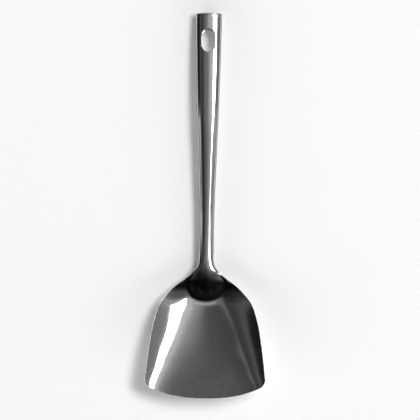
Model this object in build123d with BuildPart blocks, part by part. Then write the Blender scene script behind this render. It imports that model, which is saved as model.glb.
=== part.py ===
# Wok turner in stainless steel: a pressed dish blade on a hollow, tapered handle made of two welded
# half shells. +Y runs along the handle to its hanging end, +X to the right seen from above, +Z up from
# the table that the tool lies on. The origin is on the table, under the middle of the overall box.

from bisect import bisect_right
from math import asin, cos, degrees, pi, radians, sin, sqrt, tan
import os

from build123d import *

MM = 1.0

# Driving dimensions
overall_length = 334 * MM
blade_width = 103.9 * MM  # at the widest, near the front corners
blade_length = 124 * MM  # from the front edge to the weld at the neck
sheet_thickness = 1.5 * MM
shell_thickness = 1.0 * MM
neck_width = 13.1 * MM
neck_height = 8.6 * MM
handle_end_width = 23.1 * MM
handle_end_height = 11.5 * MM
handle_arch = 2.4 * MM  # rise of the middle of the handle over its neck
handle_droop = 7  # degrees, slope of the handle at its end

# Blade; heights are of the sheet's upper face over the table
floor_slope = 13.7  # degrees, rise of the floor to the front edge
heel_share = 0.685  # heel that the blade rests on, of the blade's length from the front edge
heel_radius = 5 * MM
side_height = 10.5 * MM  # the most that a side stands over the floor
side_lean = 29  # degrees, rise of the sides outwards
side_crease = 4.4 * MM  # softness of the turn from the floor to the sides
front_bow = 11.7 * MM  # front edge's bow, from its middle to the corners
corner_radius = 8.5 * MM
tongue_crease = 1.1 * MM  # softness of the turn from the floor and sides to the tongue
edge_rounding = 0.45 * MM
tongue_radius = 34 * MM  # across the tongue behind the heel
neck_turn = 15 * MM  # length over which the dish turns into the half round neck
neck_lift = 0.35 * MM  # side edges over the seam, where the flare leaves it
flare_start = 6 * MM  # from the neck weld forward to where the flare leaves the seam

# Handle
neck_line_height = 7.2 * MM  # of the handle's widest line at the neck weld
seam_width = 0.6 * MM
weld_width = 0.8 * MM
cap_thickness = 1.2 * MM
cap_rise = 1.5 * MM  # dome of the end cap
cap_inset = 3.2 * MM  # from the cap's side in to where its dome ends flat
slot_length = 20 * MM
slot_width = 12 * MM
slot_from_end = 22.5 * MM  # middle of the slot to the end of the handle
heel_gap = 6 * MM  # from the heel back to where the back shell's trough begins

section_points = 25
overrun = 4 * MM

# Places along the blade, as shares of its length from the front edge, with shares of what they scale
flare_shares = (  # half width, of the spread from the neck to the widest place
    (-0.05, 1.05), (0.0, 1.04), (0.14, 1.0), (0.265, 0.963), (0.391, 0.917), (0.475, 0.88),
    (0.56, 0.827), (0.644, 0.750), (0.685, 0.685), (0.727, 0.587), (0.769, 0.479), (0.811, 0.337),
    (0.832, 0.257), (0.853, 0.178), (0.874, 0.12), (0.895, 0.075), (0.916, 0.035), (0.937, 0.012),
    (0.958, 0.004), (1.0, 0.0),
)
side_height_shares = (
    (-0.05, 0.24), (0.0, 0.29), (0.1, 0.37), (0.14, 0.45), (0.18, 0.53), (0.265, 0.65), (0.35, 0.78),
    (0.43, 0.88), (0.52, 0.945), (0.6, 0.99), (0.643, 1.0), (0.685, 0.955), (0.727, 0.84),
    (0.77, 0.7), (0.81, 0.61), (0.87, 0.57),
)
side_lean_shares = (
    (0.4, 1.0), (0.56, 0.97), (0.643, 0.91), (0.685, 0.84), (0.727, 0.78), (0.77, 0.74), (0.81, 0.72),
)
side_crease_shares = (
    (-0.05, 0.5), (0.1, 0.58), (0.18, 0.68), (0.265, 0.8), (0.39, 1.0), (0.6, 1.05), (0.685, 0.8),
    (0.73, 0.5),
)
crest_shares = (  # height of the tongue's crest, of the neck's crest
    (-0.05, -3.6), (0.6, -0.3), (0.687, 0.14), (0.726, 0.37), (0.766, 0.59), (0.806, 0.77),
    (0.853, 0.9), (0.903, 0.97), (0.952, 0.995), (1.0, 1.0),
)
tongue_radius_shares = (
    (0.6, 1.2), (0.687, 1.2), (0.726, 1.1), (0.766, 1.0), (0.806, 1.0), (0.853, 0.65), (0.903, 0.4),
)
blade_station_shares = (
    -0.03, 0.04, 0.12, 0.2, 0.28, 0.36, 0.44, 0.51, 0.57, 0.61, 0.64, 0.66, 0.68, 0.7, 0.72, 0.745,
    0.77, 0.795, 0.82, 0.845, 0.87, 0.895, 0.92, 0.945, 0.97, 1.0,
)
bow_shares = ((0.0, 0.0), (0.72, 0.445), (1.0, 1.0))  # front edge: shares of half width and of bow

# Places along the handle, as shares of its length from the neck weld
taper_shares = (  # widening, of all of it from the neck to the end
    (0.0, 0.0), (0.07, -0.01), (0.17, 0.01), (0.22, 0.07), (0.27, 0.13), (0.37, 0.27),
    (0.47, 0.41), (0.57, 0.57), (0.67, 0.69), (0.77, 0.81), (0.87, 0.9), (1.0, 1.0),
)
handle_station_shares = (0.0, 0.1, 0.2, 0.3, 0.4, 0.5, 0.6, 0.7, 0.8, 0.9, 1.0)
arch_share = 0.5
dome_shares = ((0.0, 0.0), (0.5, 0.12), (0.82, 0.45), (1.0, 1.0))  # rise, inset
oval_breaks = (0, 32, 90, 148, 180, 212, 270, 328, 360)  # degrees, where an oval's arcs meet
shell_breaks = (32, 90, 148)  # degrees, the same for the oval's half over the seam
rim_shares = (0.25, 0.75)  # corners of a side edge's rounding, of the sheet's thickness


def read_share(table, place):
    # Monotone cubic curve through the table's points, so it never bulges past them
    places = [row[0] for row in table]
    values = [row[1] for row in table]
    steps = [b - a for a, b in zip(places, places[1:])]
    slopes = [(b - a) / step for a, b, step in zip(values, values[1:], steps)]
    leans = [slopes[0]]
    for before, after in zip(slopes, slopes[1:]):
        leans.append(0 if before * after <= 0 else 2 * before * after / (before + after))
    leans.append(slopes[-1])
    index = min(max(bisect_right(places, place) - 1, 0), len(steps) - 1)
    step = steps[index]
    t = min(max((place - places[index]) / step, 0), 1)
    return (
        values[index] * (1 + 2 * t) * (1 - t) ** 2
        + leans[index] * step * t * (1 - t) ** 2
        + values[index + 1] * t * t * (3 - 2 * t)
        - leans[index + 1] * step * t * t * (1 - t)
    )


def soft_max(a, b, radius):
    return (a + b + sqrt((a - b) ** 2 + radius**2)) / 2


def ease(share):
    share = min(max(share, 0), 1)
    return share * share * (3 - 2 * share)


# Places worked out from the driving dimensions
front_y = -overall_length / 2
joint_y = front_y + blade_length
flare_y = joint_y - flare_start
heel_place = heel_share * blade_length
heel_reach = blade_length - heel_place - heel_gap
neck_crest = neck_line_height + neck_height / 2
end_slope = radians(handle_droop)
flat_half_height = handle_end_height / 2 - cap_inset  # of the flat that ends the dome
end_y = overall_length / 2 - cap_rise * cos(end_slope) - flat_half_height * sin(end_slope)
end_z = handle_end_height / 2 * cos(end_slope)


# Blade
def turned_share(share):
    # From nothing in the dish to one where the section is half round
    ahead = blade_length - flare_start - share * blade_length
    return ease(1 - ahead / neck_turn)


def half_width(share):
    spread = (blade_width - neck_width) / 2 * read_share(flare_shares, share)
    return neck_width / 2 + spread - edge_rounding * (1 - turned_share(share))


def floor_height(share, sink=0):
    ahead = heel_place - share * blade_length
    rise = tan(radians(floor_slope)) * (ahead + sqrt(ahead**2 + heel_radius**2)) / 2
    return sheet_thickness + rise - sink


def edge_height(share, sink=0):
    # The side edge stands over the floor in the dish and comes down on the seam at the neck
    dish_edge = floor_height(share, sink) + side_height * read_share(side_height_shares, share)
    seam_edge = neck_line_height + neck_lift
    to_seam = ease((share * blade_length - heel_place) / (blade_length - flare_start - heel_place))
    to_joint = ease(1 - (1 - share) * blade_length / flare_start)
    return dish_edge + (seam_edge - dish_edge) * to_seam - neck_lift * to_joint


def sheet_height(x, share, sink=0):
    # Dish with leaning sides and the tongue's crest, turned into half round at the neck
    half = half_width(share)
    edge = edge_height(share, sink)
    crest = neck_crest * read_share(crest_shares, share)
    lean = tan(radians(side_lean)) * read_share(side_lean_shares, share)
    side_turn = side_crease * read_share(side_crease_shares, share)
    dish = soft_max(floor_height(share, sink), edge - lean * (half - abs(x)), side_turn)
    across = tongue_radius * read_share(tongue_radius_shares, share)
    dish = soft_max(dish, crest - x**2 / (2 * across), tongue_crease)
    round_neck = edge + (crest - edge) * sqrt(max(1 - (x / half) ** 2, 0))
    return dish + (round_neck - dish) * turned_share(share)


def places_across(share):
    # Places across the blade, closer together at the edges where the neck is round
    turned = turned_share(share)
    spacing = [2 * index / (section_points - 1) - 1 for index in range(section_points)]
    return [half_width(share) * (u + (sin(pi / 2 * u) - u) * turned) for u in spacing]


def heel_sink():
    # How far the floor goes down for its lower face to rest on the table beside the tongue
    sink = 0
    for step in range(6):
        lowest = min(
            sheet_height(x, share, sink)
            for share in blade_station_shares
            for x in places_across(share)
        )
        sink += lowest - sheet_thickness
    return sink


def upper_places(share):
    return [(x, sheet_height(x, share, floor_sink)) for x in places_across(share)]


floor_sink = heel_sink()


def lower_places(upper):
    # The lower face: each point moved square to the upper face by the sheet's thickness
    lower = []
    for index, (x, z) in enumerate(upper):
        before = upper[max(index - 1, 0)]
        after = upper[min(index + 1, len(upper) - 1)]
        run, rise = after[0] - before[0], after[1] - before[1]
        scale = sheet_thickness / sqrt(run**2 + rise**2)
        lower.append((x + rise * scale, z - run * scale))
    return lower


def rim_corners(above, below, way):
    # Corners of a side edge's rounding, out from between its upper and lower corners
    across, down = below[0] - above[0], below[1] - above[1]
    out = way * edge_rounding / sheet_thickness
    return [(above[0] + t * across - out * down, above[1] + t * down + out * across) for t in rim_shares]


def blade_section(share):
    # Closed section of the sheet, with rounded side edges
    upper = upper_places(share)
    lower = lower_places(upper)
    spacing = [index / (section_points - 1) for index in range(section_points)]
    place = (0, front_y + share * blade_length, 0)
    with BuildSketch(Plane(origin=place, x_dir=(1, 0, 0), z_dir=(0, -1, 0))) as section:
        with BuildLine():
            add(Edge.make_spline([(x, z, 0) for x, z in upper], parameters=spacing))
            add(Edge.make_spline([(x, z, 0) for x, z in lower], parameters=spacing))
            Polyline(upper[0], *rim_corners(upper[0], lower[0], -1), lower[0])
            Polyline(upper[-1], *rim_corners(upper[-1], lower[-1], 1), lower[-1])
        make_face()
    return section.sketch


def front_outline():
    # Plan of the blade's front: a bowed edge, rounded corners and sides clear of the sheet's own
    side_start = half_width(0) + edge_rounding
    narrowing = (side_start - half_width(0.14) - edge_rounding) / (0.14 * blade_length)
    side_x = side_start - narrowing * front_bow
    back_x = side_x - narrowing * (blade_length - front_bow) * 0.8
    with BuildSketch() as outline:
        with BuildLine():
            bow = Spline(
                [(x * side_x, front_y + y * front_bow) for x, y in bow_shares],
                tangents=[(1, 0), (side_x, 2.4 * front_bow)],
            )
            Polyline(bow @ 1, (back_x, joint_y + overrun), (0, joint_y + overrun), bow @ 0)
        make_face()
        mirror(about=Plane.YZ)
        by_side = outline.vertices().sort_by(Axis.X)
        fillet([by_side[0], by_side[-1]], corner_radius)
    return outline.sketch


# Handle
def spine_curve(shift):
    # The handle's widest line in side view, shifted up or down
    return Spline(
        (joint_y, neck_line_height + shift),
        (joint_y + arch_share * (end_y - joint_y), neck_line_height + handle_arch + shift),
        (end_y, end_z + shift),
        tangents=[(1, 0), (cos(end_slope), -sin(end_slope))],
    )


with BuildLine(Plane.YZ) as spine_line:
    spine = spine_curve(0)
past_end = spine @ 1 + spine % 1 * (cap_rise + overrun)
past_side = handle_end_width / 2 + overrun
past_face = handle_end_height / 2 + overrun


def spine_plane(share):
    # Square to the handle, with its second direction up
    return Plane(origin=spine @ share, x_dir=(-1, 0, 0), z_dir=spine % share)


def oval_size(share, inset=0):
    # Half width and half height of the handle's oval, smaller all round by the inset
    widening = (handle_end_width - neck_width) / 2 * read_share(taper_shares, share)
    heightening = (handle_end_height - neck_height) / 2 * share
    return neck_width / 2 + widening - inset, neck_height / 2 + heightening - inset


def oval_arcs(size, angles):
    # Shallow arcs along an ellipse, from one angle to the next, with their two ends
    places = [(size[0] * cos(radians(angle)), size[1] * sin(radians(angle))) for angle in angles]
    middles = [(a + b) / 2 for a, b in zip(angles, angles[1:])]
    for start, middle, end in zip(places, middles, places[1:]):
        ThreePointArc(start, (size[0] * cos(radians(middle)), size[1] * sin(radians(middle))), end)
    return places[0], places[-1]


def oval_section(plane, size):
    with BuildSketch(plane) as oval:
        with BuildLine():
            oval_arcs(size, oval_breaks)
        make_face()
    return oval.sketch


def wall_section(share, breaks, lean_ends, turn):
    # Wall of the handle's oval between two leans from its widest line, turned about its middle
    with BuildSketch(spine_plane(share)) as wall:
        with BuildLine():
            ends = []
            for size in (oval_size(share), oval_size(share, shell_thickness)):
                lean = degrees(asin(seam_width / 2 / size[1]))
                start, end = (base + way * lean for base, way in lean_ends)
                ends.append(oval_arcs(size, [turn + angle for angle in (start, *breaks, end)]))
            for outer_end, inner_end in zip(*ends):
                Line(outer_end, inner_end)
        make_face()
    return wall.sketch


def shell_section(share, turn):
    # Wall of the half shell over the seam, or under it with a half turn
    return wall_section(share, shell_breaks, ((0, 1), (180, -1)), turn)


def seam_section(share, turn):
    # Wall between the two half shells on one side, or with a half turn on the other
    return wall_section(share, (), ((0, -1), (0, 1)), turn)


def stations(start, end):
    # The handle's section places from one share of its length to another
    places = sorted({start, neck_weld_share, *handle_station_shares, end})
    return [share for share in places if start <= share <= end]


def seam_region(bottom, top):
    # All across the handle, between two heights over its widest line, from the flare to past its end
    with BuildPart() as region:
        with BuildSketch(Plane.YZ):
            with BuildLine():
                for shift in (bottom, top):
                    curve = spine_curve(shift)
                    Line((flare_y, neck_line_height + shift), curve @ 0)
                    Line(curve @ 1, (past_end.Y, past_end.Z + shift))
                for y, z in ((flare_y, neck_line_height), (past_end.Y, past_end.Z)):
                    Line((y, z + bottom), (y, z + top))
            make_face()
        extrude(amount=past_side, both=True)
    return region.part


under_seam = seam_region(-past_face, seam_width / 2)
over_seam = seam_region(-seam_width / 2, past_face)
neck_weld_share = weld_width / spine.length
cap_share = 1 - cap_thickness / spine.length
cap_weld_share = cap_share - weld_width / spine.length
slot_share = 1 - slot_from_end / spine.length
slot_plane = Plane(
    origin=spine @ slot_share, x_dir=spine % slot_share, z_dir=Vector(1, 0, 0).cross(spine % slot_share)
)


def hanging_slot():
    # A cutter right through both half shells, square to the handle
    with BuildPart() as slot:
        with BuildSketch(slot_plane):
            SlotOverall(slot_length, slot_width)
        extrude(amount=past_face, both=True)
    return slot.part


with BuildPart() as blade:
    loft(sections=[blade_section(share) for share in blade_station_shares], ruled=True)
    extrude(front_outline(), amount=overall_length, mode=Mode.INTERSECT)
    add(under_seam, mode=Mode.SUBTRACT)

with BuildPart() as handle_front_shell:
    front_stations = stations(neck_weld_share, cap_weld_share)
    loft(sections=[shell_section(share, 0) for share in front_stations], ruled=True)
    add(hanging_slot(), mode=Mode.SUBTRACT)

with BuildPart() as neck_weld:
    loft(sections=[shell_section(share, 0) for share in (0, neck_weld_share)], ruled=True)


def neck_walls(reach):
    # The neck's lower half with upright walls, run forward from the weld
    plane = Plane(origin=(0, joint_y, neck_line_height), x_dir=(1, 0, 0), z_dir=(0, -1, 0))
    with BuildPart() as trough:
        for inset, mode in ((0, Mode.ADD), (shell_thickness, Mode.SUBTRACT)):
            size = oval_size(0, inset)
            with BuildSketch(plane) as section:
                with BuildLine():
                    left, right = oval_arcs(size, [180 + angle for angle in (0, *shell_breaks, 180)])
                    Polyline(right, (size[0], neck_height), (-size[0], neck_height), left)
                make_face()
            extrude(section.sketch, amount=reach, mode=mode)
    return trough.part


def heel_trough():
    # What of those walls lies under the blade, seated on its lower face
    with BuildPart() as trough:
        add(neck_walls(heel_reach))
        add(over_seam, mode=Mode.SUBTRACT)
        add(blade.part, mode=Mode.SUBTRACT)
    return trough.solids().sort_by(Axis.Z)[0]


with BuildPart() as handle_back_shell:
    loft(sections=[shell_section(share, 180) for share in stations(0, cap_weld_share)], ruled=True)
    add(heel_trough())
    add(hanging_slot(), mode=Mode.SUBTRACT)

with BuildPart() as side_seam_welds:
    for turn in (0, 180):
        loft(sections=[seam_section(share, turn) for share in stations(0, cap_weld_share)], ruled=True)
        extrude(seam_section(0, turn), amount=-flare_start)

with BuildPart() as end_cap_weld:
    for inset, mode in ((0, Mode.ADD), (shell_thickness, Mode.SUBTRACT)):
        ring_shares = (cap_weld_share, cap_share)
        ovals = [oval_section(spine_plane(share), oval_size(share, inset)) for share in ring_shares]
        loft(sections=ovals, ruled=True, mode=mode)


def dome_sections():
    # The end cap's ovals: its inner face, then the steps of its dome
    sections = [oval_section(spine_plane(cap_share), oval_size(cap_share))]
    for rise_share, inset_share in dome_shares:
        plane = spine_plane(1).offset(cap_rise * rise_share)
        sections.append(oval_section(plane, oval_size(1, cap_inset * inset_share)))
    return sections


with BuildPart() as end_cap:
    loft(sections=dome_sections(), ruled=True)

os.makedirs("parts", exist_ok=True)
pieces = {
    "blade": blade,
    "handle_front_shell": handle_front_shell,
    "handle_back_shell": handle_back_shell,
    "side_seam_welds": side_seam_welds,
    "neck_weld": neck_weld,
    "end_cap_weld": end_cap_weld,
    "end_cap": end_cap,
}
for name, piece in pieces.items():
    piece.part.label = name
    export_step(piece.part, f"parts/{name}.step")
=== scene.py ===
from bisect import bisect_right
from math import acos, asin, atan2, cos, hypot, pi, radians, sin, sqrt, tan

import bmesh
import bpy
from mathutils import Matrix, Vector


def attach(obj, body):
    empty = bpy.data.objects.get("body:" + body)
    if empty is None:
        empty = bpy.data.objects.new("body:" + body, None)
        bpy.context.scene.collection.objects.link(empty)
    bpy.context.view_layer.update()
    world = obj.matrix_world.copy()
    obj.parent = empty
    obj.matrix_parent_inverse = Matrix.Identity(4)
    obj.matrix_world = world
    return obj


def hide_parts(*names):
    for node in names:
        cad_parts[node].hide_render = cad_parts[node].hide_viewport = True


# Wok turner in polished stainless steel: pressed blade, hollow tapered handle of two welded shells.
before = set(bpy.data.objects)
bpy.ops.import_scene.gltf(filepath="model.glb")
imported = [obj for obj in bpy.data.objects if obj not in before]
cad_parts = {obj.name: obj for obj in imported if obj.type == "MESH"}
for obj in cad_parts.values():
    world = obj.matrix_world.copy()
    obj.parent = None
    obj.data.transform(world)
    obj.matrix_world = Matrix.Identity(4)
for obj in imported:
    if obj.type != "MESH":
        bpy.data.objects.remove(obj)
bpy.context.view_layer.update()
print("frame loaded, nodes:", ", ".join(sorted(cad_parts)))


# Curves that several pieces share

def cubic(t, span, low, high, lowSlope, highSlope):  # from one value and slope to the next
    return (low * (1 + 2 * t) * (1 - t) ** 2 + lowSlope * span * t * (1 - t) ** 2
            + high * t * t * (3 - 2 * t) - highSlope * span * t * t * (1 - t))


def readShare(table, place):  # smooth curve through a table's rows, never past them
    places = [row[0] for row in table]
    values = [row[1] for row in table]
    steps = [b - a for a, b in zip(places, places[1:])]
    slopes = [(b - a) / step for a, b, step in zip(values, values[1:], steps)]
    leans = [slopes[0]]
    for before, after in zip(slopes, slopes[1:]):
        leans.append(0 if before * after <= 0 else 2 * before * after / (before + after))
    leans.append(slopes[-1])
    index = min(max(bisect_right(places, place) - 1, 0), len(steps) - 1)
    step = steps[index]
    t = min(max((place - places[index]) / step, 0), 1)
    return cubic(t, step, values[index], values[index + 1], leans[index], leans[index + 1])


def smoothed(table, reach, start=-0.1, end=1.05, count=460):
    # The same curve sampled closely, each sample the mean of its neighbours within reach
    step = (end - start) / count
    raw = [readShare(table, start + index * step) for index in range(-reach, count + reach + 1)]
    means = [sum(raw[index:index + 2 * reach + 1]) / (2 * reach + 1) for index in range(count + 1)]

    def read(place):
        at = min(max((place - start) / step, 0), count - 1e-6)
        index = int(at)
        return mixed(means[index], means[index + 1], at - index)

    return read


def slopeAt(curve, place, step=1e-5):
    return (curve(place + step) - curve(place - step)) / (2 * step)


def softMax(a, b, radius):  # the greater of the two, with a rounded change over
    return (a + b + sqrt((a - b) ** 2 + radius ** 2)) / 2


def ease(share):
    share = min(max(share, 0), 1)
    return share * share * (3 - 2 * share)


def mixed(a, b, share):
    return a + (b - a) * share


# Shader nodes

class Wire:  # the output of a shader node; a sum written with it becomes Math nodes
    def __init__(self, socket):
        self.socket = socket

    def worked(self, operation, *terms):
        values = dict(enumerate(terms))
        return addNode(self.socket.id_data, "ShaderNodeMath", {"operation": operation}, values)

    def __add__(self, other): return self.worked("ADD", self, other)
    def __radd__(self, other): return self.worked("ADD", other, self)
    def __sub__(self, other): return self.worked("SUBTRACT", self, other)
    def __rsub__(self, other): return self.worked("SUBTRACT", other, self)
    def __mul__(self, other): return self.worked("MULTIPLY", self, other)
    def __rmul__(self, other): return self.worked("MULTIPLY", other, self)
    def __abs__(self): return self.worked("ABSOLUTE", self)

    def between(self, low, high, start=0.0, end=1.0):  # smooth step from one value to another
        settings = {"interpolation_type": "SMOOTHSTEP"}
        values = {"Value": self, "From Min": low, "From Max": high, "To Min": start, "To Max": end}
        return addNode(self.socket.id_data, "ShaderNodeMapRange", settings, values)


def addNode(tree, kind, settings, values, output=0):
    made = tree.nodes.new(kind)
    for name, setting in settings.items():
        if name == "stops":
            ramp = made.color_ramp
            while len(ramp.elements) < len(setting):
                ramp.elements.new(0.5)
            for element, (place, shade) in zip(ramp.elements, setting):
                element.position = place
                element.color = (shade, shade, shade, 1)
        else:
            setattr(made, name, setting)
    for name, value in values.items():
        if isinstance(value, Wire):
            tree.links.new(value.socket, made.inputs[name])
        else:
            made.inputs[name].default_value = value
    return Wire(made.outputs[output]) if made.outputs else None


def mixColour(tree, share, first, second):
    return addNode(tree, "ShaderNodeMix", {"data_type": "RGBA"}, {0: share, 6: first, 7: second}, 2)


def newMaterial(name):
    material = bpy.data.materials.new(name)
    material.use_nodes = True
    material.node_tree.nodes.clear()
    return material, material.node_tree


def polishedSteel(name, look):
    # Metal with a ground grain, finer polishing lines across it, hazy patches from handling, and where
    # asked painted shade on the sides that turn upright
    material, tree = newMaterial(name)
    place = addNode(tree, "ShaderNodeTexCoord", {}, {}, "Object")

    def stretched(scale, detail, turn=0.0):
        spread = addNode(tree, "ShaderNodeMapping", {}, {"Vector": place, "Rotation": (0, 0, turn),
                                                         "Scale": scale})
        return addNode(tree, "ShaderNodeTexNoise", {}, {"Vector": spread, "Scale": 1.0,
                                                        "Detail": detail, "Roughness": 0.6})

    grain = stretched(look["grainScale"], 4.0)
    cross = stretched(look["crossScale"], 3.0, look["crossTurn"])
    haze = stretched(look["hazeScale"], 3.0)
    patches = stretched(look["patchScale"], 2.0)
    nicks = stretched(look["nickScale"], 1.0, look["nickTurn"]).between(0.66, 0.74)
    edgeWear = addNode(tree, "ShaderNodeNewGeometry", {}, {}, "Pointiness").between(0.515, 0.56)
    rough = look["roughness"] + look["hazeSpread"] * haze.between(0.35, 0.7)
    rough = rough + look["grainSpread"] * (grain - 0.5) + look["patchSpread"] * patches.between(0.45, 0.7)
    rough = rough + look["nickSpread"] * nicks + look["edgeSpread"] * edgeWear
    shade = 0.5 * grain + 0.3 * cross + 0.2 * haze
    colour = mixColour(tree, shade.between(0.3, 0.7), look["darkTone"], look["paleTone"])
    if look["paintedShadeDepth"]:  # painted shade: darker and duller where the sides turn upright
        facing = addNode(tree, "ShaderNodeTexCoord", {}, {}, "Normal")
        upright = abs(addNode(tree, "ShaderNodeSeparateXYZ", {}, {"Vector": facing}, "Z"))
        # The darker base colour is painted shade standing in for the dark reflection of the shadowed
        # floor along the sides; the added roughness is real
        margin = upright.between(*look["paintedShadeReach"], look["paintedShadeDepth"], 0.0)
        colour = mixColour(tree, margin, colour, look["paintedShadeTone"])
        rough = rough + look["marginSpread"] * margin
    height = 0.6 * grain + 0.3 * cross - 0.5 * nicks
    bump = addNode(tree, "ShaderNodeBump", {}, {"Strength": look["bump"], "Distance": look["bumpHeight"],
                                                "Height": height})
    surface = addNode(tree, "ShaderNodeBsdfPrincipled", {},
                      {"Base Color": colour, "Metallic": 1.0, "Roughness": rough, "Normal": bump})
    addNode(tree, "ShaderNodeOutputMaterial", {}, {"Surface": surface})
    return material


# Building helpers

sharpAngle = radians(48)  # faces that meet at more than this show an edge between them
bevelAngle = radians(55)  # and where they meet at more than this, the edge can be rounded


def newObject(name, data):
    made = bpy.data.objects.new(name, data)
    bpy.context.scene.collection.objects.link(made)
    return made


def newMesh(name, shape, material):
    mesh = bpy.data.meshes.new(name)
    shape.to_mesh(mesh)
    shape.free()
    mesh.materials.append(material)
    return mesh


def newPiece(name, shape, material, node):
    mesh = newMesh(name, shape, material)
    mesh.shade_smooth()
    mesh.set_sharp_from_angle(angle=sharpAngle)
    piece = newObject(name, mesh)
    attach(piece, "root")
    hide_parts(node)
    print("made", name, "with", len(mesh.polygons), "faces")


def wovenGrid(shape, across, along, placeOf):
    # A grid of faces whose corners go where placeOf(column, row) says
    made = bmesh.ops.create_grid(shape, x_segments=across, y_segments=along, size=1)
    for corner in made["verts"]:
        column = round((corner.co.x + 1) / 2 * across)
        row = round((corner.co.y + 1) / 2 * along)
        corner.co = placeOf(column, row)
    return made["verts"]


def thickened(shape, thickness):
    # A wall of even thickness under the faces, which point outwards
    bmesh.ops.solidify(shape, geom=shape.faces[:], thickness=thickness)
    bmesh.ops.recalc_face_normals(shape, faces=shape.faces[:])


def sharpEdges(shape):
    return [edge for edge in shape.edges
            if len(edge.link_faces) == 2 and edge.calc_face_angle() > bevelAngle]


def roundEdges(shape, chosen, width, segments=3):
    bmesh.ops.bevel(shape, geom=chosen, offset=width, segments=segments, profile=0.5,
                    affect="EDGES", material=-1)


# Blade

bladeShape = {  # metres, and shares of the blade's length from the front edge
    "frontY": -0.167, "length": 0.124, "width": 0.1039, "thickness": 0.0015,
    "floorSlope": radians(13.7), "heelShare": 0.685, "heelRadius": 0.005,
    "sideHeight": 0.0105, "sideLean": radians(29), "sideCrease": 0.0044, "tongueCrease": 0.0011,
    "middleBlur": 0.008,
    "frontBow": 0.0117, "cornerRadius": 0.0085, "edgeRounding": 0.00045,
    "rimRounding": 0.00008, "rimWidth": 0.00012,
    "tongueRadius": 0.034, "neckTurn": 0.015, "neckLift": 0.00035, "flareStart": 0.006,
    "flare": ((-0.05, 1.05), (0.0, 1.04), (0.14, 1.0), (0.265, 0.963), (0.391, 0.917),
              (0.475, 0.88), (0.56, 0.827), (0.644, 0.750), (0.685, 0.685), (0.727, 0.587),
              (0.769, 0.479), (0.811, 0.337), (0.832, 0.257), (0.853, 0.178), (0.874, 0.12),
              (0.895, 0.075), (0.916, 0.035), (0.937, 0.012), (0.958, 0.004), (1.0, 0.0)),
    "sideHeights": ((-0.05, 0.24), (0.0, 0.29), (0.1, 0.37), (0.14, 0.45), (0.18, 0.53),
                    (0.265, 0.65), (0.35, 0.78), (0.43, 0.88), (0.52, 0.945), (0.6, 0.99),
                    (0.643, 1.0), (0.685, 0.955), (0.727, 0.84), (0.77, 0.7), (0.81, 0.61),
                    (0.87, 0.57)),
    "sideLeans": ((0.4, 1.0), (0.56, 0.97), (0.643, 0.91), (0.685, 0.84), (0.727, 0.78),
                  (0.77, 0.74), (0.81, 0.72)),
    "sideCreases": ((-0.05, 0.5), (0.1, 0.58), (0.18, 0.68), (0.265, 0.8), (0.39, 1.0),
                    (0.6, 1.05), (0.685, 0.8), (0.73, 0.5)),
    "crest": ((-0.05, -3.6), (0.6, -0.3), (0.687, 0.14), (0.726, 0.37), (0.766, 0.59),
              (0.806, 0.77), (0.853, 0.9), (0.903, 0.97), (0.952, 0.995), (1.0, 1.0)),
    "tongueRadii": ((0.6, 1.2), (0.687, 1.2), (0.726, 1.1), (0.766, 1.0), (0.806, 1.0),
                    (0.853, 0.65), (0.903, 0.4)),
    "bow": ((0.0, 0.0), (0.1, 0.005), (0.2, 0.022), (0.3, 0.055), (0.4, 0.107), (0.5, 0.182),
            (0.6, 0.284), (0.7, 0.415), (0.8, 0.578), (0.9, 0.773), (1.0, 1.0)),
    "columns": 168, "rows": 176, "rowCrowd": 1.2, "columnCrowd": 0.55,
}
handleShape = {  # metres, and shares of the handle's length from the neck weld
    "neckWidth": 0.0131, "neckHeight": 0.0086, "endWidth": 0.0231, "endHeight": 0.0115,
    "wall": 0.001, "seam": 0.0006, "weld": 0.0008, "cap": 0.0012, "endY": 0.1652,
    "spine": ((-0.043, 0.0072), (0.0611, 0.0096), (0.1652, 0.0057)), "droop": radians(7),
    "taper": ((0.0, 0.0), (0.07, -0.01), (0.17, 0.01), (0.22, 0.07), (0.27, 0.13),
              (0.37, 0.27), (0.47, 0.41), (0.57, 0.57), (0.67, 0.69), (0.77, 0.81),
              (0.87, 0.9), (1.0, 1.0)),
    "slotY": 0.1428, "slotWidth": 0.012, "slotLength": 0.020, "slotLean": 0.0755,
    "slotRounding": 0.0003, "slotBlend": 0.0098,
    "heelGap": 0.006, "flareGap": 0.0001, "troughBite": 0.0006,
}
flareAt, crestAt, tongueRadiusAt = (smoothed(bladeShape[name], 5)
                                    for name in ("flare", "crest", "tongueRadii"))
sideHeightAt, sideLeanAt, sideCreaseAt = (smoothed(bladeShape[name], 16)
                                          for name in ("sideHeights", "sideLeans", "sideCreases"))
neckY = bladeShape["frontY"] + bladeShape["length"]
heelPlace = bladeShape["heelShare"] * bladeShape["length"]


def turnedShare(share):  # from the flat dish, 0, to the half round neck, 1
    ahead = bladeShape["length"] * (1 - share) - bladeShape["flareStart"]
    return ease(1 - ahead / bladeShape["neckTurn"])


def halfWidth(share):
    spread = (bladeShape["width"] - handleShape["neckWidth"]) / 2 * flareAt(share)
    return handleShape["neckWidth"] / 2 + spread


def floorHeight(share, sink):
    ahead = heelPlace - share * bladeShape["length"]
    rise = tan(bladeShape["floorSlope"]) * (ahead + sqrt(ahead ** 2 + bladeShape["heelRadius"] ** 2)) / 2
    return bladeShape["thickness"] + rise - sink


def edgeHeight(share, sink):
    neckLine, lift = handleShape["spine"][0][1], bladeShape["neckLift"]
    dishEdge = floorHeight(share, sink) + bladeShape["sideHeight"] * sideHeightAt(share)
    flareY = bladeShape["length"] - bladeShape["flareStart"]
    toSeam = ease((share * bladeShape["length"] - heelPlace) / (flareY - heelPlace))
    toJoint = ease(1 - (1 - share) * bladeShape["length"] / bladeShape["flareStart"])
    return mixed(dishEdge, neckLine + lift, toSeam) - lift * toJoint


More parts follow.
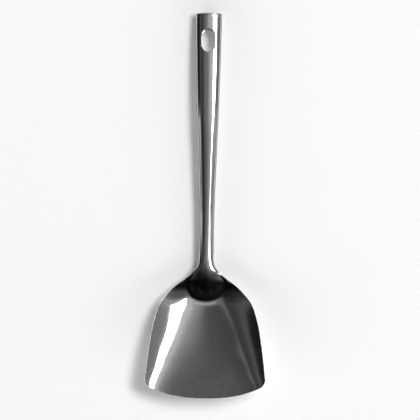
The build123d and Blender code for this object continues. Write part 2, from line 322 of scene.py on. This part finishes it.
def sheetHeight(x, share, sink):
    # Upper face of the pressed sheet: dish, leaning sides and tongue, half round at the neck
    half = halfWidth(share) - bladeShape["edgeRounding"] * (1 - turnedShare(share))
    edge = edgeHeight(share, sink)
    neckCrest = handleShape["spine"][0][1] + handleShape["neckHeight"] / 2
    crest = neckCrest * crestAt(share)
    lean = tan(bladeShape["sideLean"]) * sideLeanAt(share)
    sideTurn = bladeShape["sideCrease"] * sideCreaseAt(share)
    blur = bladeShape["middleBlur"]
    side = edge - lean * (hypot(half, blur) - hypot(x, blur))
    dish = softMax(floorHeight(share, sink), side, sideTurn)
    across = bladeShape["tongueRadius"] * tongueRadiusAt(share)
    dish = softMax(dish, crest - x ** 2 / (2 * across), bladeShape["tongueCrease"])
    roundNeck = edge + (crest - edge) * sqrt(max(1 - (x / half) ** 2, 0))
    return mixed(dish, roundNeck, turnedShare(share))


def restingSink():
    # How far the floor goes down for its lower face to rest on the table
    sink = 0
    shares = [0.5 + 0.01 * step for step in range(30)]
    places = [0.001 * step for step in range(46)]
    for turn in range(5):
        lowest = min(sheetHeight(x, share, sink) for share in shares for x in places)
        sink += lowest - bladeShape["thickness"]
    return sink


def bladeShare(y):
    return (y - bladeShape["frontY"]) / bladeShape["length"]


def sideX(y):
    return halfWidth(bladeShare(y))


floorSink = restingSink()
bowReach = sideX(bladeShape["frontY"] + bladeShape["frontBow"])


def bowHeight(x):  # how far the front edge lies behind its middle
    return bladeShape["frontBow"] * readShare(bladeShape["bow"], abs(x) / bowReach)


def placeCorner():
    # Middle of the front corner's rounding, tangent to the bow and to the side
    radius = bladeShape["cornerRadius"]
    low, high = 0.6 * bowReach, bowReach
    for turn in range(40):
        x = (low + high) / 2
        slope = slopeAt(bowHeight, x)
        stretch = hypot(1, slope)
        centreX = x - radius * slope / stretch
        centreY = bladeShape["frontY"] + bowHeight(x) + radius / stretch
        if sideX(centreY) - centreX > radius:
            low = x
        else:
            high = x
    start = atan2(-1, slope)  # direction from the centre to the bow
    return centreX, centreY, start, x


cornerCentreX, cornerCentreY, cornerStart, bowEndX = placeCorner()
cornerMiddle = cornerStart / 2
cornerX = cornerCentreX + bladeShape["cornerRadius"] * cos(cornerMiddle)
cornerY = cornerCentreY + bladeShape["cornerRadius"] * sin(cornerMiddle)


def frontEdgeY(x):
    x = abs(x)
    if x < bowEndX:
        return bladeShape["frontY"] + bowHeight(x)
    return cornerCentreY - sqrt(max(bladeShape["cornerRadius"] ** 2 - (x - cornerCentreX) ** 2, 0))


def sideEdgeX(y):
    if y > cornerCentreY:
        return sideX(y)
    return cornerCentreX + sqrt(max(bladeShape["cornerRadius"] ** 2 - (y - cornerCentreY) ** 2, 0))


def bladePlace(column, row):
    # The outermost columns and the first row are as wide as the rim's rounding needs
    columns, rows, rim = bladeShape["columns"], bladeShape["rows"], bladeShape["rimWidth"]
    along = (max(row - 1, 0) / (rows - 1)) ** bladeShape["rowCrowd"]
    along = 0 if row == 0 else mixed(rim / bladeShape["length"], 1, along)
    across = min(max(2 * (column - 1) / (columns - 2) - 1, -1), 1)
    crowd = mixed(bladeShape["columnCrowd"], 1, ease(along))
    across = mixed(across, sin(pi / 2 * across), crowd)
    edgeX = sideEdgeX(mixed(cornerY, neckY, along))
    across *= 1 - rim / edgeX
    if column in (0, columns):
        across = 1 if column else -1
    y = mixed(frontEdgeY(across * cornerX), neckY, along)
    return Vector((across * edgeX, y, sheetHeight(across * edgeX, bladeShare(y), floorSink)))


def buildBlade():
    shape = bmesh.new()
    wovenGrid(shape, bladeShape["columns"], bladeShape["rows"], bladePlace)
    thickened(shape, bladeShape["thickness"])
    flareY = neckY - bladeShape["flareStart"]
    rim = [edge for edge in sharpEdges(shape) if max(corner.co.y for corner in edge.verts) < flareY]
    roundEdges(shape, rim, bladeShape["rimRounding"], 4)
    return shape


# Handle

def spineHeight(y):  # of the handle's widest line: a cubic through three places
    (y0, z0), (y1, z1), (y2, z2) = handleShape["spine"]
    before, after = y1 - y0, y2 - y1
    endSlope = -tan(handleShape["droop"])
    pull = 3 * ((z1 - z0) / before ** 2 + (z2 - z1) / after ** 2) - endSlope / after
    middle = pull / (2 * (1 / before + 1 / after))
    if y <= y0:
        return z0
    low, high, lowZ, highZ, lowSlope, highSlope = (
        (y0, y1, z0, z1, 0, middle) if y < y1 else (y1, y2, z1, z2, middle, endSlope))
    span = high - low
    t = min((y - low) / span, 1)
    return cubic(t, span, lowZ, highZ, lowSlope, highSlope) + max(y - high, 0) * highSlope


def handleShare(y):
    return (y - neckY) / (handleShape["endY"] - neckY)


def halfAcross(y):
    spread = (handleShape["endWidth"] - handleShape["neckWidth"]) / 2
    return handleShape["neckWidth"] / 2 + spread * readShare(handleShape["taper"], handleShare(y))


def halfUp(y):
    share = min(max(handleShare(y), 0), 1)
    return mixed(handleShape["neckHeight"], handleShape["endHeight"], share) / 2


def seamLean(y):  # angle from the widest line up to the edge of the seam
    return asin(handleShape["seam"] / 2 / halfUp(y))


def spineY(behind):  # of the place on the spine that far ahead of its end
    return handleShape["endY"] - behind * cos(handleShape["droop"])


def ovalPoint(x, y, rise, lean=1.0):
    # A point so far over the spine, in a section that leans with it
    slope = slopeAt(spineHeight, y)
    stretch = hypot(1, slope)
    return Vector((x, y - lean * rise * slope / stretch, spineHeight(y) + rise / mixed(1, stretch, lean)))


def ovalAt(y, turn, past=0.0, scale=1.0):  # at an angle from the right, on the oval or so far past it
    return ovalPoint((halfAcross(y) + past) * scale * cos(turn), y,
                     (halfUp(y) + past) * scale * sin(turn))


shellRows = {"trough": 26, "inFlare": 4, "toSlot": 150, "inSlot": 34, "pastSlot": 14,
             "inSlotColumns": 15, "outColumns": 26}


def slotMiddle(way):  # way is 1 for the upper shell and -1 for the lower one
    return handleShape["slotY"] + way * handleShape["slotLean"] * halfUp(handleShape["slotY"])


def shellPlace(column, row, way, startY):
    # Rows straight across up to the slot, then columns that part and go round it
    toSlot, inSlot, pastSlot = shellRows["toSlot"], shellRows["inSlot"], shellRows["pastSlot"]
    slotY, slotHalf = slotMiddle(way), handleShape["slotLength"] / 2
    endY = spineY(handleShape["cap"] + handleShape["weld"])
    lean = 0
    if row <= toSlot:
        y = mixed(startY, slotY - slotHalf, row / toSlot)
    elif row <= toSlot + inSlot:
        y = mixed(slotY - slotHalf, slotY + slotHalf, (row - toSlot) / inSlot)
    else:
        lean = (row - toSlot - inSlot) / pastSlot
        y = mixed(slotY + slotHalf, endY, lean)
    middle, outer = shellRows["inSlotColumns"], shellRows["outColumns"]
    step = column - middle - outer
    side = 1 if step > 0 else -1
    reach = handleShape["slotWidth"] / 2
    halfAtSlot = halfAcross(slotY)
    if abs(step) <= middle:
        x = abs(step) / middle * reach / halfAtSlot
    else:
        turn = mixed(acos(reach / halfAtSlot), seamLean(y), (abs(step) - middle) / outer)
        x = cos(turn)
    x *= halfAtSlot
    dy = abs(y - slotY)
    core = slotHalf - reach
    square = max(x, dy - core)
    far = ease((square - reach) / (handleShape["slotBlend"] - reach))
    if dy > core:
        squeeze = mixed(square / max(hypot(x, dy - core), 1e-9), 1, far)
        x *= squeeze
        y = slotY + (core + (dy - core) * squeeze) * (1 if y > slotY else -1)
    x *= mixed(1, halfAcross(y) / halfAtSlot, far)
    lift = sqrt(max(1 - (x / halfAcross(y)) ** 2, 0))
    return ovalPoint(side * x, y, way * halfUp(y) * lift, lean)


def troughPlace(column, row):
    # Forward of the neck the lower shell runs on with upright walls, up into the blade's sheet
    joint = shellPlace(column, 0, -1, neckY)
    spine, halfX, halfZ = spineHeight(neckY), halfAcross(neckY), halfUp(neckY)
    turn = atan2(joint.x / halfX, (spine - joint.z) / halfZ)  # from straight down
    most = pi / 2 - seamLean(neckY)
    flareY = neckY - bladeShape["flareStart"]
    startY = bladeShape["frontY"] + heelPlace + handleShape["heelGap"]
    inFlare = shellRows["inFlare"]
    toFlare = shellRows["trough"] - inFlare
    if row >= toFlare:
        y = mixed(flareY, neckY, (row - toFlare) / inFlare)
        reach = most
    else:
        y = mixed(startY, flareY - handleShape["flareGap"], row / (toFlare - 1))
        low, high = 0, pi
        for step in range(30):
            reach = (low + high) / 2
            x, z = troughWall(reach, halfX, halfZ)
            if spine + z > sheetHeight(x, bladeShare(y), floorSink) - handleShape["troughBite"]:
                high = reach
            else:
                low = reach
    x, z = troughWall(abs(turn) / most * reach, halfX, halfZ)
    return Vector((x if turn > 0 else -x, y, spine + z))


def troughWall(turn, halfX, halfZ):  # across and up, along half an oval and then an upright wall
    if turn < pi / 2:
        return halfX * sin(turn), -halfZ * cos(turn)
    return halfX, (turn - pi / 2) * halfZ


def inSlot(place, way, margin):
    core = (handleShape["slotLength"] - handleShape["slotWidth"]) / 2
    dy = max(abs(place.y - slotMiddle(way)) - core, 0)
    return hypot(place.x, dy) < handleShape["slotWidth"] / 2 + margin


slotMargins = {"hole": -0.00005, "lip": 0.0006}  # metres round the slot's outline


def buildShell(way, startY, ahead=0):
    def placeOf(column, row):
        return troughPlace(column, row) if row < ahead else shellPlace(column, row - ahead, way, startY)

    shape = bmesh.new()
    rows = ahead + shellRows["toSlot"] + shellRows["inSlot"] + shellRows["pastSlot"]
    columns = 2 * (shellRows["inSlotColumns"] + shellRows["outColumns"])
    wovenGrid(shape, columns, rows, placeOf)
    hole = [face for face in shape.faces if inSlot(face.calc_center_median(), way, slotMargins["hole"])]
    bmesh.ops.delete(shape, geom=hole, context="FACES")
    if way < 0:
        bmesh.ops.reverse_faces(shape, faces=shape.faces[:])
    thickened(shape, handleShape["wall"])
    margin = slotMargins["lip"]
    lip = [edge for edge in sharpEdges(shape)
           if inSlot((edge.verts[0].co + edge.verts[1].co) / 2, way, margin)
           and abs(edge.verts[0].co.y - slotMiddle(way)) < handleShape["slotLength"] / 2 + margin]
    roundEdges(shape, lip, handleShape["slotRounding"])
    return shape


seamShape = {"across": 6, "ahead": 6, "along": 180, "bead": 0.00001, "leanStart": 0.9}


def seamPlace(column, row):
    # The left weld between the two shells: straight ahead of the neck, then on the widest line
    ahead = seamShape["ahead"]
    endY = spineY(handleShape["cap"] + handleShape["weld"])
    past = max(row - ahead, 0) / (seamShape["along"] - ahead)
    forward = max(1 - row / ahead, 0) * bladeShape["flareStart"]
    y = mixed(neckY, endY, past)
    turn = seamLean(y) * (1 - 2 * column / seamShape["across"])
    bead = seamShape["bead"] * sin(pi * column / seamShape["across"])
    x = -halfAcross(y) * cos(turn) - bead
    lean = ease((past - seamShape["leanStart"]) / (1 - seamShape["leanStart"]))
    return ovalPoint(x, y, halfUp(y) * sin(turn), lean) - Vector((0, forward, 0))


def buildSeams():
    shape = bmesh.new()
    wovenGrid(shape, seamShape["across"], seamShape["along"], seamPlace)
    thickened(shape, handleShape["wall"])
    bmesh.ops.mirror(shape, geom=shape.verts[:] + shape.edges[:] + shape.faces[:], axis="X",
                     merge_dist=-1)
    bmesh.ops.recalc_face_normals(shape, faces=shape.faces[:])
    return shape


weldShape = {"across": 72, "rows": 6, "crown": 0.00002}  # columns over half a turn, rows, metres


def crownAt(row):
    return weldShape["crown"] * sin(pi * row / weldShape["rows"])


def neckWeldPlace(column, row):
    y = mixed(neckY, neckY + handleShape["weld"], row / weldShape["rows"])
    lean = seamLean(y)
    return ovalAt(y, mixed(pi - lean, lean, column / weldShape["across"]), crownAt(row))


def buildNeckWeld():
    shape = bmesh.new()
    wovenGrid(shape, weldShape["across"], weldShape["rows"], neckWeldPlace)
    thickened(shape, handleShape["wall"])
    return shape


def capWeldPlace(column, row):
    behind = handleShape["cap"] + handleShape["weld"] * (1 - row / weldShape["rows"])
    return ovalAt(spineY(behind), -pi * column / weldShape["across"], crownAt(row))


def buildCapWeld():
    shape = bmesh.new()
    made = wovenGrid(shape, 2 * weldShape["across"], weldShape["rows"], capWeldPlace)
    bmesh.ops.remove_doubles(shape, verts=made, dist=1e-7)
    thickened(shape, handleShape["wall"])
    return shape


capShape = {"rise": 0.0015, "inset": 0.0032, "domeRows": 22}


def capProfile():
    # Rows of way out from the cap's back, inset and scale: its flat back, its side, then its dome
    thick, rise, inset = handleShape["cap"], capShape["rise"], capShape["inset"]
    back = [(0, 0, scale) for scale in (0, 0.25, 0.5, 0.75, 0.9)]
    side = [(thick * share, 0, 1) for share in (0, 0.06, 0.35, 0.7, 0.94)]
    turns = [pi / 2 * row / capShape["domeRows"] for row in range(capShape["domeRows"] + 1)]
    dome = [(thick + rise * sin(turn), inset * (1 - cos(turn)), 1) for turn in turns]
    flat = [(thick + rise, inset, scale) for scale in (0.9, 0.7, 0.4, 0)]
    return back + side + dome + flat


def buildCap():
    profile = capProfile()

    def placeOf(column, row):
        out, inset, scale = profile[row]
        return ovalAt(spineY(handleShape["cap"] - out), -pi * column / weldShape["across"], -inset, scale)

    shape = bmesh.new()
    made = wovenGrid(shape, 2 * weldShape["across"], len(profile) - 1, placeOf)
    bmesh.ops.remove_doubles(shape, verts=made, dist=1e-7)
    bmesh.ops.recalc_face_normals(shape, faces=shape.faces[:])
    return shape


steelLook = {  # scales are waves per metre, spreads are added to the roughness
    "grainScale": (60, 2600, 600), "crossScale": (900, 90, 400), "crossTurn": radians(7),
    "hazeScale": (38, 38, 38), "patchScale": (90, 60, 90), "nickScale": (420, 2600, 900),
    "nickTurn": radians(23), "roughness": 0.07, "hazeSpread": 0.02, "grainSpread": 0.02,
    "patchSpread": 0.01, "nickSpread": 0.05, "edgeSpread": -0.04, "marginSpread": 0.1,
    "darkTone": (0.55, 0.545, 0.535, 1), "paleTone": (0.66, 0.655, 0.645, 1),
    "paintedShadeDepth": 0.0, "paintedShadeReach": (0.45, 0.66), "paintedShadeTone": (0.1, 0.1, 0.1, 1),
    "bump": 0.12, "bumpHeight": 0.00002,
}
bladeSteel = polishedSteel("bladeSteel", steelLook | {"grainScale": (2400, 60, 600),
                                                      "crossScale": (90, 900, 400)})
# The handle gets painted shade on its sideways-facing flanks, in place of their dark reflection of the
# floor
handleSteel = polishedSteel("handleSteel", steelLook | {"grainScale": (2200, 45, 2200),
                                                         "paintedShadeDepth": 0.85})
weldSteel = polishedSteel("weldSteel", steelLook | {"roughness": 0.2})

newPiece("pressedBlade", buildBlade(), bladeSteel, "blade")
newPiece("upperShell", buildShell(1, neckY + handleShape["weld"]), handleSteel,
         "handle_front_shell")
newPiece("lowerShell", buildShell(-1, neckY, shellRows["trough"]), handleSteel,
         "handle_back_shell")
newPiece("sideSeams", buildSeams(), weldSteel, "side_seam_welds")
newPiece("neckWeld", buildNeckWeld(), weldSteel, "neck_weld")
newPiece("capWeld", buildCapWeld(), weldSteel, "end_cap_weld")
newPiece("endCap", buildCap(), handleSteel, "end_cap")
print("all pieces made")


# Studio

studio = {
    "imageWidth": 0.3646, "distance": 6.0, "middle": (0.0028, -0.0039), "turn": radians(0.6),
    "sensor": 36, "floorShade": 0.95, "floorSize": 6.0,
    "keyDirection": (0.63, 0.3, 1.0), "keyDistance": 9.0, "keySize": (5.5, 2.8), "keyPower": 552,
    # The room's light by direction, from the right over the top to the left in shares of a half
    # turn: square to the handle, on both sides of that, and far towards the handle's end
    "roomBeside": ((0.0, 0.2), (0.06, 0.35), (0.09, 0.5), (0.13, 0.6), (0.2, 0.55), (0.25, 0.42),
                   (0.3, 0.55), (0.34, 0.6), (0.4, 0.6), (0.43, 0.45), (0.46, 0.33), (0.5, 0.27),
                   (0.54, 0.22), (0.58, 0.17), (0.62, 0.1), (0.66, 0.05), (0.7, 0.025),
                   (0.735, 0.035), (0.765, 0.12), (0.79, 0.35), (0.82, 0.75), (0.87, 0.75),
                   (0.91, 0.5), (0.96, 0.27), (1.0, 0.25)),
    "roomNear": ((0.0, 0.15), (0.06, 0.18), (0.2, 0.25), (0.26, 0.35), (0.4, 0.68), (0.44, 0.62),
                 (0.478, 0.38), (0.5, 0.27), (0.545, 0.215), (0.6, 0.19), (0.63, 0.1), (0.66, 0.06),
                 (0.73, 0.08), (0.76, 0.12), (0.775, 0.1), (0.785, 0.016), (1.0, 0.02)),
    "roomBeyond": ((0.0, 0.18), (0.19, 0.21), (0.23, 0.3), (0.4, 0.75), (0.44, 0.72), (0.465, 0.48),
                   (0.478, 0.36), (0.4885, 0.28), (0.495, 0.165), (0.501, 0.115), (0.507, 0.095),
                   (0.53, 0.082), (0.73, 0.09), (0.76, 0.12), (0.775, 0.1), (0.785, 0.016),
                   (1.0, 0.02)),
    # Where one of them gives way to the next, as the direction's part towards the handle's end
    "nearStart": (-0.035, -0.015), "aheadStart": (-0.085, -0.06), "beyondStart": (0.26, 0.36),
    # What is left of them in front of the blade, from straight ahead at 0 to the other end at 1
    "roomAhead": ((0.0, 0.006), (0.13, 0.008), (0.25, 0.02), (0.33, 0.09), (0.415, 0.3),
                   (0.465, 0.75), (0.48, 1.0), (1.0, 1.0)),
    "endGlow": 0.22, "endGlowWay": (0.0, 0.242, 0.97), "endGlowSize": (0.99, 0.999),
    "lowFill": 4.0, "lowFillTop": (0.36, 0.48), "lowFillStart": (-0.12, -0.25),
}


def buildFloor():
    material, tree = newMaterial("floorPaper")
    surface = addNode(tree, "ShaderNodeBsdfDiffuse", {}, {"Color": (*[studio["floorShade"]] * 3, 1)})
    addNode(tree, "ShaderNodeOutputMaterial", {}, {"Surface": surface})
    shape = bmesh.new()
    bmesh.ops.create_grid(shape, x_segments=2, y_segments=2, size=studio["floorSize"])
    newObject("floor", newMesh("floor", shape, material))


def buildSoftbox():
    lamp = bpy.data.lights.new("softbox", "AREA")
    lamp.shape = "RECTANGLE"
    lamp.size, lamp.size_y = studio["keySize"]
    lamp.energy = studio["keyPower"]
    box = newObject("softbox", lamp)
    toLamp = Vector(studio["keyDirection"]).normalized()
    box.location = toLamp * studio["keyDistance"]
    box.rotation_euler = toLamp.to_track_quat("Z", "Y").to_euler()


def buildRoom():
    world = bpy.data.worlds.new("studio")
    world.use_nodes = True
    bpy.context.scene.world = world
    tree = world.node_tree
    tree.nodes.clear()
    way = addNode(tree, "ShaderNodeTexCoord", {}, {}, "Generated")
    toRight, toEnd, toTop = (addNode(tree, "ShaderNodeSeparateXYZ", {}, {"Vector": way}, axis)
                             for axis in "XYZ")
    over = toTop.worked("ARCTAN2", toTop, toRight) * (1 / pi)

    def banded(stops, share):
        return addNode(tree, "ShaderNodeValToRGB", {"stops": studio[stops]}, {"Fac": share})

    near = toEnd.between(*studio["nearStart"]) + toEnd.between(*studio["aheadStart"], 1.0, 0.0)
    beyond = toEnd.between(*studio["beyondStart"])
    room = mixColour(tree, near, banded("roomBeside", over), banded("roomNear", over))
    room = mixColour(tree, beyond, room, banded("roomBeyond", over))
    glow = addNode(tree, "ShaderNodeVectorMath", {"operation": "DOT_PRODUCT"},
                   {0: way, 1: studio["endGlowWay"]}, "Value")
    low = toTop.between(*studio["lowFillTop"], 1.0, 0.0) * toEnd.between(*studio["lowFillStart"])
    level = room * banded("roomAhead", toEnd * 0.5 + 0.5)
    level = level + studio["endGlow"] * glow.between(*studio["endGlowSize"]) + studio["lowFill"] * low
    lit = addNode(tree, "ShaderNodeBackground", {}, {"Color": level})
    addNode(tree, "ShaderNodeOutputWorld", {}, {"Surface": lit})


def buildCamera():
    lens = bpy.data.cameras.new("camera")
    lens.sensor_width = studio["sensor"]
    lens.lens = studio["sensor"] * studio["distance"] / studio["imageWidth"]
    camera = newObject("camera", lens)
    camera.location = (*studio["middle"], studio["distance"])
    camera.rotation_euler = (0, 0, studio["turn"])
    bpy.context.scene.camera = camera


buildFloor()
buildSoftbox()
buildRoom()
buildCamera()
bpy.context.scene.view_settings.view_transform = "Standard"
print("studio made")
